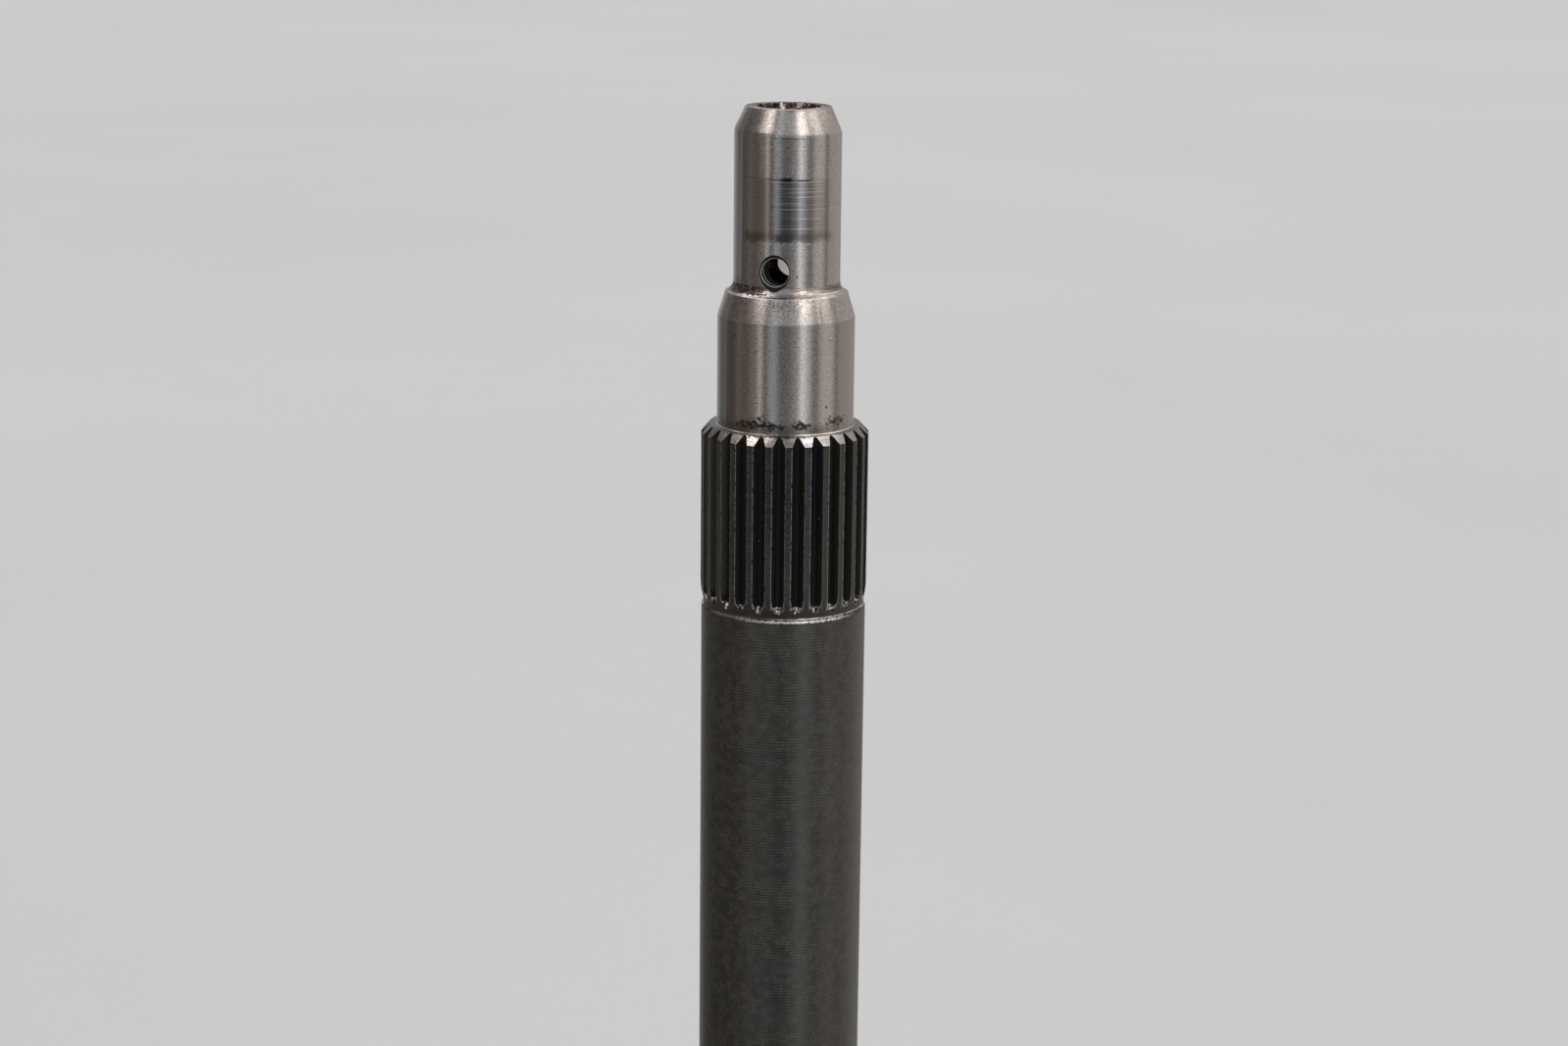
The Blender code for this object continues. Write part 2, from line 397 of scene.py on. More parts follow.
def roughenGapEnds(cutter):
    # the cutter tore the steel where it ran out
    top = topZ / millimetre
    onlySelect(cutter)
    bpy.ops.object.mode_set(mode="EDIT")
    selectVertices(cutter, lambda place: top - place.z > wear["gapEndDrop"])
    bpy.ops.transform.vertex_random(offset=wear["gapEndOffset"] * millimetre, seed=wear["gapEndSeed"])
    bpy.ops.object.mode_set(mode="OBJECT")
    return cutter


def makeHoleCutter():
    # a round bar through the nose, opened out to a cone where it breaks the surface
    h = holeSizes
    straight = shaftSizes["noseRadius"] - (h["mouthRadius"] - h["radius"])
    reach = shaftSizes["noseRadius"] + h["overshoot"]
    bpy.ops.object.select_all(action="DESELECT")
    bpy.ops.mesh.primitive_cylinder_add(
        vertices=h["facets"],
        radius=h["radius"] * millimetre,
        depth=2 * straight * millimetre,
        location=(0, 0, height(h["drop"])),
        rotation=(math.pi / 2, 0, 0),
    )
    cutter = bpy.context.object
    cutter.name = "holeCutter"
    bpy.ops.object.transform_apply()
    bpy.ops.object.mode_set(mode="EDIT")
    grow = (h["mouthRadius"] + h["overshoot"]) / h["radius"]
    for side in (1, -1):
        selectVertices(cutter, lambda place: place.y * side > straight - touching)
        step = (0, side * (reach - straight) * millimetre, 0)
        bpy.ops.mesh.extrude_region_move(TRANSFORM_OT_translate={"value": step})
        middle = (0, side * reach * millimetre, height(h["drop"]))
        bpy.ops.transform.resize(value=(grow, 1, grow), center_override=middle)
    bpy.ops.mesh.select_all(action="SELECT")
    bpy.ops.mesh.normals_make_consistent(inside=False)
    bpy.ops.object.mode_set(mode="OBJECT")
    return cutter


def cutWith(body, cutter):
    onlySelect(body)
    boolean = body.modifiers.new("cut", "BOOLEAN")
    boolean.operation = "DIFFERENCE"
    boolean.solver = "EXACT"
    boolean.object = cutter
    boolean.material_mode = "TRANSFER"
    bpy.ops.object.modifier_apply(modifier=boolean.name)
    bpy.data.objects.remove(cutter)


cameraView = {
    "azimuth": 13.3,         # degrees to the right of the front
    "pitch": 13.2,
    "roll": 0.63,
    "distance": 539.0,
    "aimDrop": 73.4,
    "lens": 70.0,
    "sensor": 36.0,
}


def addCamera():
    c = cameraView
    azimuth, pitch = math.radians(c["azimuth"]), math.radians(c["pitch"])
    level = math.cos(pitch)
    towards = Vector((math.sin(azimuth) * level, -math.cos(azimuth) * level, math.sin(pitch)))
    place = Vector((0, 0, height(c["aimDrop"]))) + towards * c["distance"] * millimetre
    bpy.ops.object.select_all(action="DESELECT")
    bpy.ops.object.camera_add()
    camera = bpy.context.object
    camera.name = "photoCamera"
    camera.data.lens = c["lens"]
    camera.data.sensor_width = c["sensor"]
    camera.data.clip_start = 0.01
    turn = Matrix.Rotation(azimuth, 4, "Z") @ Matrix.Rotation(math.pi / 2 - pitch, 4, "X")
    camera.matrix_world = Matrix.Translation(place) @ turn @ Matrix.Rotation(math.radians(c["roll"]), 4, "Z")
    bpy.context.scene.camera = camera


def addNode(tree, kind, inputs=None, **settings):
    # a node with its sockets set or linked, by name or number
    node = tree.nodes.new(kind)
    for name, value in settings.items():
        setattr(node, name, value)
    for name, value in (inputs or {}).items():
        if isinstance(value, bpy.types.NodeSocket):
            tree.links.new(value, node.inputs[name])
        else:
            node.inputs[name].default_value = value
    return node


def calculate(tree, operation, a, b=0.0):
    return addNode(tree, "ShaderNodeMath", {0: a, 1: b}, operation=operation).outputs[0]


def fade(tree, value, low, high):
    # 0 below low, 1 above high, smooth between
    inputs = {"Value": value, "From Min": low, "From Max": high}
    return addNode(tree, "ShaderNodeMapRange", inputs, interpolation_type="SMOOTHSTEP").outputs["Result"]


def blendColours(tree, factor, a, b, mode="MIX"):
    return addNode(tree, "ShaderNodeMixRGB", {0: factor, 1: a, 2: b}, blend_type=mode).outputs[0]


def wrap(tree, value, half):
    # brings a value between minus half and half
    return addNode(tree, "ShaderNodeMath", {0: value, 1: half, 2: -half}, operation="WRAP").outputs[0]


def cloud(tree, place, scale, detail, roughness=0.5):
    values = {"Vector": place, "Scale": scale, "Detail": detail, "Roughness": roughness}
    return addNode(tree, "ShaderNodeTexNoise", values).outputs["Fac"]


def fromPhotoFront(tree, direction):
    # a direction's parts as the photo's front has them, and its degrees round from there
    turned = addNode(
        tree,
        "ShaderNodeVectorRotate",
        {"Vector": direction, "Angle": math.radians(-cameraView["azimuth"])},
        rotation_type="Z_AXIS",
    ).outputs[0]
    split = addNode(tree, "ShaderNodeSeparateXYZ", {0: turned}).outputs
    turn = calculate(tree, "ARCTAN2", split["X"], calculate(tree, "MULTIPLY", split["Y"], -1.0))
    return split, calculate(tree, "DEGREES", turn)


def newGroup(name, inputs, outputs):
    tree = bpy.data.node_groups.new(name, "ShaderNodeTree")
    for label, value in inputs.items():
        kind = "NodeSocketFloat" if isinstance(value, float) else "NodeSocketVector"
        socket = tree.interface.new_socket(label, in_out="INPUT", socket_type=kind)
        socket.default_value = value
    for label, kind in outputs.items():
        tree.interface.new_socket(label, in_out="OUTPUT", socket_type=kind)
    start = tree.nodes.new("NodeGroupInput")
    end = tree.nodes.new("NodeGroupOutput")
    return tree, start.outputs, end.inputs


def useGroup(tree, group, inputs=None):
    return addNode(tree, "ShaderNodeGroup", inputs, node_tree=group).outputs


def makePlaceGroup():
    # a point in millimetres, its drop from the top face and its degrees round from the photo's front
    outputs = {"Place": "NodeSocketVector", "Drop": "NodeSocketFloat", "Angle": "NodeSocketFloat"}
    tree, start, end = newGroup("placeOnShaft", {}, outputs)
    metres = addNode(tree, "ShaderNodeTexCoord").outputs["Object"]
    scaled = {0: metres, "Scale": 1 / millimetre}
    place = addNode(tree, "ShaderNodeVectorMath", scaled, operation="SCALE").outputs[0]
    split, angle = fromPhotoFront(tree, place)
    tree.links.new(place, end["Place"])
    tree.links.new(calculate(tree, "SUBTRACT", topZ / millimetre, split["Z"]), end["Drop"])
    tree.links.new(angle, end["Angle"])
    return tree


def stretchPlace(tree, place, long, tall):
    # a noise's coordinates, so that its grains measure long round the shaft and tall along it
    size = addNode(tree, "ShaderNodeCombineXYZ", {0: long, 1: long, 2: tall}).outputs[0]
    return addNode(tree, "ShaderNodeVectorMath", {0: place, 1: size}, operation="DIVIDE").outputs[0]


def makeGrainGroup():
    # turning and grinding marks that run round the shaft
    inputs = {"Pitch": 0.5, "Waver": 1.0, "Fine": 0.06, "Run": 6.0}
    outputs = {"Lines": "NodeSocketFloat", "Grain": "NodeSocketFloat", "Glitter": "NodeSocketFloat"}
    tree, start, end = newGroup("turningMarks", inputs, outputs)
    place = useGroup(tree, groups["place"])["Place"]
    wave = addNode(
        tree,
        "ShaderNodeTexWave",
        {
            "Vector": place,
            "Scale": calculate(tree, "DIVIDE", math.tau / 20, start["Pitch"]),
            "Distortion": start["Waver"],
            "Detail": 2.0,
            "Detail Scale": 0.4,
        },
        bands_direction="Z",
    ).outputs["Fac"]
    stretched = stretchPlace(tree, place, start["Run"], start["Fine"])
    grain = cloud(tree, stretched, 1.0, 3.0)
    glitter = cloud(tree, place, 3.6, 3.0)
    tree.links.new(wave, end["Lines"])
    tree.links.new(fade(tree, grain, 0.3, 0.7), end["Grain"])
    tree.links.new(fade(tree, glitter, 0.3, 0.7), end["Glitter"])
    return tree


def makeSpotGroup():
    # small round spots, strewn: pits, flecks and dust
    inputs = {"Spacing": 2.0, "Radius": 0.2, "Share": 0.3, "Shift": 0.0}
    tree, start, end = newGroup("strewnSpots", inputs, {"Mask": "NodeSocketFloat"})
    place = useGroup(tree, groups["place"])["Place"]
    moved = addNode(tree, "ShaderNodeVectorMath", {0: place, 1: start["Shift"]}, operation="ADD").outputs[0]
    cells = addNode(
        tree,
        "ShaderNodeTexVoronoi",
        {"Vector": moved, "Scale": calculate(tree, "DIVIDE", 1.0, start["Spacing"])},
    ).outputs
    chance = addNode(tree, "ShaderNodeSeparateXYZ", {0: cells["Color"]}).outputs
    away = calculate(tree, "MULTIPLY", cells["Distance"], start["Spacing"])
    reach = calculate(tree, "MULTIPLY", start["Radius"], calculate(tree, "ADD", chance["X"], 0.3))
    ratio = calculate(tree, "DIVIDE", away, reach)
    spot = addNode(
        tree,
        "ShaderNodeMapRange",
        {"Value": ratio, "From Min": 1.2, "From Max": 0.6},
        interpolation_type="SMOOTHSTEP",
    ).outputs["Result"]
    there = calculate(tree, "LESS_THAN", chance["Y"], start["Share"])
    tree.links.new(calculate(tree, "MULTIPLY", spot, there), end["Mask"])
    return tree


def makePatchGroup():
    # a ragged patch of wear or dirt, by its drop and its degrees round
    inputs = {
        "Drop": 0.0,
        "Half Height": 1.0,
        "Edge": 0.1,
        "Angle": 0.0,
        "Half Width": 400.0,
        "Side Fade": 10.0,
        "Ragged": 0.0,
        "Grain Size": 1.0,
        "Sway": 0.0,
    }
    tree, start, end = newGroup("raggedPatch", inputs, {"Mask": "NodeSocketFloat"})
    here = useGroup(tree, groups["place"])
    grainScale = calculate(tree, "DIVIDE", 1.0, start["Grain Size"])
    ragged = calculate(tree, "SUBTRACT", cloud(tree, here["Place"], grainScale, 4.0), 0.5)
    ragged = calculate(tree, "MULTIPLY", ragged, start["Ragged"])
    sway = calculate(tree, "SUBTRACT", cloud(tree, here["Place"], 0.3, 3.0), 0.5)
    sway = calculate(tree, "MULTIPLY", sway, start["Sway"])
    up = calculate(tree, "SUBTRACT", calculate(tree, "ADD", here["Drop"], sway), start["Drop"])
    up = calculate(tree, "ADD", calculate(tree, "ABSOLUTE", up), ragged)
    turn = wrap(tree, calculate(tree, "SUBTRACT", here["Angle"], start["Angle"]), 180.0)
    turn = calculate(tree, "ADD", calculate(tree, "ABSOLUTE", turn), calculate(tree, "MULTIPLY", ragged, 5.0))
    outside = []
    for distance, half, soft in ((up, "Half Height", "Edge"), (turn, "Half Width", "Side Fade")):
        low = calculate(tree, "SUBTRACT", start[half], start[soft])
        high = calculate(tree, "ADD", start[half], start[soft])
        outside.append(fade(tree, distance, low, high))
    inside = [calculate(tree, "SUBTRACT", 1.0, one) for one in outside]
    tree.links.new(calculate(tree, "MULTIPLY", inside[0], inside[1]), end["Mask"])
    return tree


def makeClotGroup():
    # clots and smears that cover more of the surface as Cover rises
    inputs = {"Size": 1.0, "Cover": 0.3, "Edge": 0.08, "Shift": 0.0, "Stretch": 1.0}
    tree, start, end = newGroup("clots", inputs, {"Mask": "NodeSocketFloat"})
    place = useGroup(tree, groups["place"])["Place"]
    moved = addNode(tree, "ShaderNodeVectorMath", {0: place, 1: start["Shift"]}, operation="ADD").outputs[0]
    long = calculate(tree, "MULTIPLY", start["Size"], start["Stretch"])
    stretched = stretchPlace(tree, moved, long, start["Size"])
    spread = cloud(tree, stretched, 1.0, 5.0, 0.65)
    middle = {"Value": spread, "From Min": 0.25, "From Max": 0.75}
    spread = addNode(tree, "ShaderNodeMapRange", middle).outputs[0]
    level = calculate(tree, "SUBTRACT", 1.0, start["Cover"])
    low = calculate(tree, "SUBTRACT", level, start["Edge"])
    high = calculate(tree, "ADD", level, start["Edge"])
    tree.links.new(fade(tree, spread, low, high), end["Mask"])
    return tree


groups = {}
groups["place"] = makePlaceGroup()
groups["grain"] = makeGrainGroup()
groups["spots"] = makeSpotGroup()
groups["patch"] = makePatchGroup()
groups["clots"] = makeClotGroup()
print("node groups made")


def newMaterial(name):
    material = bpy.data.materials.new(name)
    material.use_nodes = True
    tree = material.node_tree
    return material, tree, tree.nodes["Principled BSDF"]


allRound = (0, 400, 10)


def patch(tree, down, across, ragged=0, grainSize=1, sway=0):
    # down holds the drop, half height and edge, across the degrees round, half width and side fade
    labels = ("Drop", "Half Height", "Edge", "Angle", "Half Width", "Side Fade")
    values = {label: float(value) for label, value in zip(labels, (*down, *across))}
    values |= {"Ragged": float(ragged), "Grain Size": float(grainSize), "Sway": float(sway)}
    return useGroup(tree, groups["patch"], values)["Mask"]


def clots(tree, down, across, size, cover, shift=0.0, stretch=1.0, ragged=0):
    # clots that thin out towards the edge of their patch
    area = patch(tree, down, across, ragged)
    cover = calculate(tree, "MULTIPLY", area, cover)
    values = {"Size": size, "Cover": cover, "Shift": shift, "Stretch": stretch}
    mask = useGroup(tree, groups["clots"], values)["Mask"]
    return calculate(tree, "MULTIPLY", mask, fade(tree, area, 0.0, 0.2))


def scratches(tree, down, across, fine, run, least):
    grain = useGroup(tree, groups["grain"], {"Fine": fine, "Run": run})["Grain"]
    return calculate(tree, "MULTIPLY", fade(tree, grain, least, least + 0.15), patch(tree, down, across))


def spots(tree, down, across, spacing, radius, share, shift=0.0):
    # all over the piece where no place is given
    values = {"Spacing": spacing, "Radius": radius, "Share": share, "Shift": shift}
    mask = useGroup(tree, groups["spots"], values)["Mask"]
    return calculate(tree, "MULTIPLY", mask, patch(tree, down, across)) if down else mask


def between(tree, value, low, high):
    values = {"Value": value, "To Min": low, "To Max": high}
    return addNode(tree, "ShaderNodeMapRange", values).outputs["Result"]


class SteelLook:
    # a material whose marks are laid over its colour, roughness and metal before these are wired
    def __init__(self, name, values, colour, grain, roughness, roughBy="Grain", metal=0.0):
        self.material, self.tree, self.shader = newMaterial(name)
        self.values = values
        self.grain = useGroup(self.tree, groups["grain"], values[grain])
        self.colour = values[colour]
        self.roughness = between(self.tree, self.grain[roughBy], *values[roughness])
        self.metal = metal

    def set(self, socket, value):
        self.shader.inputs[socket].default_value = value

    def stretchReflections(self):
        # fine marks round the shaft stretch each reflection up and down
        self.set("Anisotropic", self.values["anisotropic"])
        self.set("Anisotropic Rotation", 0.25)

    def shade(self, factor):
        self.colour = blendColours(self.tree, 1.0, self.colour, factor, "MULTIPLY")

    def shadeBy(self, output, shades):
        # darker and lighter by one output of the grain
        self.shade(between(self.tree, self.grain[output], *self.values[shades]))

    def mix(self, mask, under, over):
        return addNode(self.tree, "ShaderNodeMix", {0: mask, 2: under, 3: over}).outputs[0]

    def lay(self, mask, colour, rough=None, metal=None, amount=1.0):
        if amount < 1:
            mask = calculate(self.tree, "MULTIPLY", mask, amount)
        self.colour = blendColours(self.tree, mask, self.colour, self.values[colour])
        if rough is not None:
            self.roughness = self.mix(mask, self.roughness, rough)
        if metal is not None:
            self.metal = self.mix(mask, self.metal, metal)

    def mark(self, kind, colour, down=None, across=allRound, rough=None, metal=None, amount=1.0, **own):
        # a patch, clots, scratches or spots in one colour
        self.lay(kind(self.tree, down, across, **own), colour, rough, metal, amount)

    def finish(self, height, distance):
        bump = addNode(self.tree, "ShaderNodeBump", {"Height": height, "Distance": distance * millimetre})
        wires = {"Base Color": self.colour, "Roughness": self.roughness, "Normal": bump.outputs["Normal"]}
        if isinstance(self.metal, float):
            self.set("Metallic", self.metal)
        else:
            wires["Metallic"] = self.metal
        for socket, value in wires.items():
            self.tree.links.new(value, self.shader.inputs[socket])
        return self.material


groundSteel = {
    "colour": (0.53, 0.51, 0.49, 1.0),
    "speckle": (0.80, 1.16),
    "roughness": (0.18, 0.25),
    "anisotropic": 0.65,
    "grain": {"Fine": 0.05, "Run": 5.0},
    "bump": 0.002,
    "pit": (0.03, 0.025, 0.022, 1.0),
    "blued": (0.205, 0.208, 0.228, 1.0),
    "worn": (0.32, 0.318, 0.33, 1.0),
    "rubbed": (0.42, 0.40, 0.385, 1.0),
    # painted light for a paler stretch down the left of the nose
    "paintedLightStreak": (0.72, 0.685, 0.66, 1.0),
    # painted shade, for darker stretches of the nose band and the journal
    "shaded": (0.34, 0.315, 0.30, 1.0),
    "scratch": (0.80, 0.79, 0.77, 1.0),
    "shadeLine": (0.16, 0.16, 0.17, 1.0),
    "dirt": (0.02, 0.02, 0.025, 1.0),
    "stripe": (0.10, 0.10, 0.11, 1.0),
    "stripeBrown": (0.19, 0.165, 0.15, 1.0),
    "stain": (0.17, 0.135, 0.112, 1.0),
    "grease": (0.020, 0.017, 0.013, 1.0),
    "cornerHighlight": (0.92, 0.89, 0.86, 1.0),
    "gold": (0.85, 0.60, 0.34, 1.0),
    # where a bush ran on the nose, as drop, half height and edge, and the scratched part of it
    "band": (16.7, 5.1, 0.2),
    "bandLined": [(16.5, 4.8, 0.3), (17, 30, 12)],
    # colour, place round the shaft and amount of the band's stretches
    "bandShades": [
        ("shaded", (-24, 9, 5), 0.9),
        ("rubbed", (36, 13, 6), 1.0),
        ("worn", (15, 9, 3), 1.0),
        ("blued", (-1, 8, 5), 1.0),
    ],
    # drop, half height, degrees round, half width and amount of the dirt over the band
    "bandMarks": [
        (11.64, 0.36, -0.5, 6, 1.0),
        (11.66, 0.12, -12, 7, 0.7),
        (11.78, 0.13, 17, 9, 0.85),
        (11.55, 0.11, -36, 20, 0.35),
        (12.4, 0.09, -4, 7, 0.6),
    ],
    # drop, degrees round and half width of the longest scratches
    "longScratches": [
        (12.05, 11, 29),
        (13.7, 20, 20),
        (14.6, 22, 15),
        (15.6, 2, 12),
        (16.7, 16, 25),
        (18.3, 24, 14),
        (20.0, 8, 22),
    ],
    # the stripe under the band, and the colour, place round the shaft, roughness and amount of its stretches
    "stripeDown": (21.65, 0.75, 0.3),
    "stripeMarks": [
        ("stripeBrown", (40, 16, 6), None, 0.35),
        ("stripeBrown", (-36, 15, 6), None, 0.65),
        ("stripeBrown", (20, 9, 6), 0.35, 0.9),
        ("stripe", (-3, 9, 6), 0.4, 1.0),
    ],
    # degrees round, half width and amount of the painted shade on the journal, darker stretches over its
    # reflections
    "journalShades": [(-77, 9, 0.55), (-50, 5, 0.6), (62, 13, 0.45)],
    # drop, degrees round, half width and sway of the lines that the grease dried to
    "tidemarks": [(53.9, -30, 9, 5.0), (53.2, -22, 7, 8.0), (53.8, -9, 10, 6.0), (53.4, 11, 7, 9.0)],
    # drop, degrees round, half width, size, cover, shift, stretch and amount of the smudges of grease
    "smudges": [
        (53.5, 13, 8, 0.55, 0.68, 3.0, 1.2, 0.9),
        (53.6, -25, 18, 0.55, 0.62, 0.0, 1.3, 0.85),
        (53.2, 47, 13, 0.5, 0.57, 8.0, 1.0, 0.8),
    ],
    # degrees round, half width and amount of the painted highlight along the fillet in the corner under the
    # journal, over the fillet's own reflection
    "cornerHighlights": [(60, 27, 1.0), (-64, 27, 1.0), (20, 12, 0.7), (180, 90, 0.5)],
    # drop, degrees round and size of single pits
    "nosePits": [
        (28.2, 11, 0.13),
        (7.7, 86, 0.22),
        (27.2, -86, 0.22),
        (9.4, -32, 0.08),
        (10.3, -27, 0.09),
        (8.3, -24, 0.07),
    ],
    "journalPits": [
        (50.6, 36, 0.2),
        (39.0, 39, 0.12),
        (44.3, 45, 0.1),
        (38.5, -47, 0.14),
        (38.8, -48.5, 0.12),
        (49.8, -24, 0.1),
        (42.6, 52, 0.08),
        (52.3, 40, 0.14),
    ],
}


def startGround(name):
    look = SteelLook(name, groundSteel, "colour", "grain", "roughness", "Glitter", 1.0)
    look.stretchReflections()
    look.shadeBy("Glitter", "speckle")
    return look


def endGround(look, pitPlaces, onRadius):
    # single pits, then fine ones all over
    for drop, angle, size in pitPlaces:
        wide = math.degrees(size / onRadius)
        look.mark(patch, "pit", (drop, size, size * 0.7), (angle, wide, wide * 0.7), rough=0.5)
    pits = spots(look.tree, None, None, spacing=1.9, radius=0.12, share=0.13)
    look.lay(pits, "pit")
    sunk = calculate(look.tree, "MULTIPLY", pits, 4.0)
    return look.finish(calculate(look.tree, "SUBTRACT", look.grain["Grain"], sunk), groundSteel["bump"])


def makeNoseMaterial():
    s = groundSteel
    look = startGround("groundNose")
    look.mark(scratches, "scratch", (15, 11, 1), (10, 50, 20), amount=0.25, fine=0.07, run=12.0, least=0.8)
    # painted light: a paler stretch down the left side of the nose
    look.mark(patch, "paintedLightStreak", (15, 14, 0.1), (-66, 8, 5), amount=0.8)
    # where a bush ran: painted shade to the left, blued in the middle, rubbed and lined to the right
    for colour, across, amount in s["bandShades"]:
        look.mark(patch, colour, s["band"], across, amount=amount)
    lined = s["bandLined"]
    look.mark(scratches, "shadeLine", *lined, amount=0.35, fine=0.09, run=26.0, least=0.62)
    look.mark(scratches, "scratch", *lined, rough=0.4, amount=0.5, fine=0.08, run=30.0, least=0.78)
    for drop, angle, halfWidth in s["longScratches"]:
        look.mark(patch, "scratch", (drop, 0.06, 0.05), (angle, halfWidth, 8), rough=0.4, amount=0.6)
    # dirt that gathered along the band's two edges
    gathered = {"rough": 0.5, "ragged": 0.3, "grainSize": 0.5}
    for drop, half, angle, halfWidth, amount in s["bandMarks"]:
        look.mark(patch, "dirt", (drop, half, half * 0.5), (angle, halfWidth, 4), amount=amount, **gathered)
    look.mark(patch, "stripeBrown", (21.2, 0.7, 0.7), (2, 46, 14), amount=0.45, ragged=0.8)
    torn = {"ragged": 1.6, "grainSize": 0.8}
    for colour, across, rough, amount in s["stripeMarks"]:
        look.mark(patch, colour, s["stripeDown"], across, rough=rough, amount=amount, **torn)
    glints = {"size": 0.35, "cover": 0.42}
    look.mark(clots, "scratch", (22.6, 0.22, 0.15), (0, 32, 10), rough=0.4, amount=0.7, **glints)
    look.mark(patch, "dirt", (4.75, 0.1, 0.1), (4, 14, 8), amount=0.55, ragged=0.2)
    return endGround(look, s["nosePits"], shaftSizes["noseRadius"])


def makeJournalMaterial():
    s = groundSteel
    look = startGround("groundJournal")
    look.mark(patch, "stain", (54.6, 0.9, 0.7), (-12, 56, 25), rough=0.3, amount=0.7, ragged=1.3)
    # painted shade: darker stretches round the journal
    for angle, halfWidth, amount in s["journalShades"]:
        look.mark(patch, "shaded", (46, 12, 0.1), (angle, halfWidth, 5), amount=amount)
    # a wavering tidemark of grease above the shoulder, with smudges and flecks round it
    dried = {"rough": 0.45, "amount": 0.9, "ragged": 1.5, "grainSize": 0.6}
    for drop, angle, halfWidth, sway in s["tidemarks"]:
        look.mark(patch, "grease", (drop, 0.16, 0.12), (angle, halfWidth, 5), sway=sway, **dried)
    for drop, angle, halfWidth, size, cover, shift, stretch, amount in s["smudges"]:
        clot = {"size": size, "cover": cover, "shift": shift, "stretch": stretch}
        look.mark(clots, "grease", (drop, 0.9, 0.7), (angle, halfWidth, 7), rough=0.45, amount=amount, **clot)
    flecks = {"size": 0.4, "cover": 0.34, "shift": 5.0}
    look.mark(clots, "grease", (53.8, 1.3, 0.9), (170, 230, 20), rough=0.45, amount=0.6, **flecks)
    # a painted highlight along the fillet under the journal, brighter than the steel, over the fillet's own
    # reflection
    line = {"rough": 0.3, "ragged": 0.15, "grainSize": 0.5}
    for angle, halfWidth, amount in s["cornerHighlights"]:
        look.mark(patch, "cornerHighlight", (55.18, 0.075, 0.05), (angle, halfWidth, 6), amount=amount, **line)
    burrs = {"spacing": 0.6, "radius": 0.2, "share": 0.5, "shift": 7.0}
    look.mark(spots, "gold", (55.1, 0.28, 0.15), (-19, 17, 8), rough=0.3, **burrs)
    return endGround(look, s["journalPits"], shaftSizes["journalRadius"])


turnedSteel = {
    "colour": (0.61, 0.58, 0.56, 1.0),
    "speckle": (0.70, 1.22),
    "roughness": (0.20, 0.30),
    "anisotropic": 0.5,
    "grain": {"Fine": 0.10, "Run": 2.2},
    "bump": 0.004,
    "grimeAndShade": (0.055, 0.038, 0.030, 1.0),
    "grease": (0.020, 0.015, 0.011, 1.0),
    "smear": (0.12, 0.10, 0.095, 1.0),
    "dull": (0.20, 0.19, 0.18, 1.0),
    "streak": (0.30, 0.28, 0.27, 1.0),
    "rosy": (0.34, 0.26, 0.215, 1.0),
    "bright": (0.86, 0.83, 0.80, 1.0),
    "gold": (0.72, 0.50, 0.28, 1.0),
    "rusty": (0.40, 0.20, 0.13, 1.0),
    # drop, half height and edge of the fillet and of the burrs on the shoulder
    "fillet": (31.0, 0.95, 0.2),
    "burrs": (55.38, 0.26, 0.12),
    # drop, degrees round and half width of the brightest tool marks in the fillet
    "filletLines": [(30.35, 48, 24), (30.85, 34, 26), (31.35, 52, 24), (31.15, -20, 16)],
}


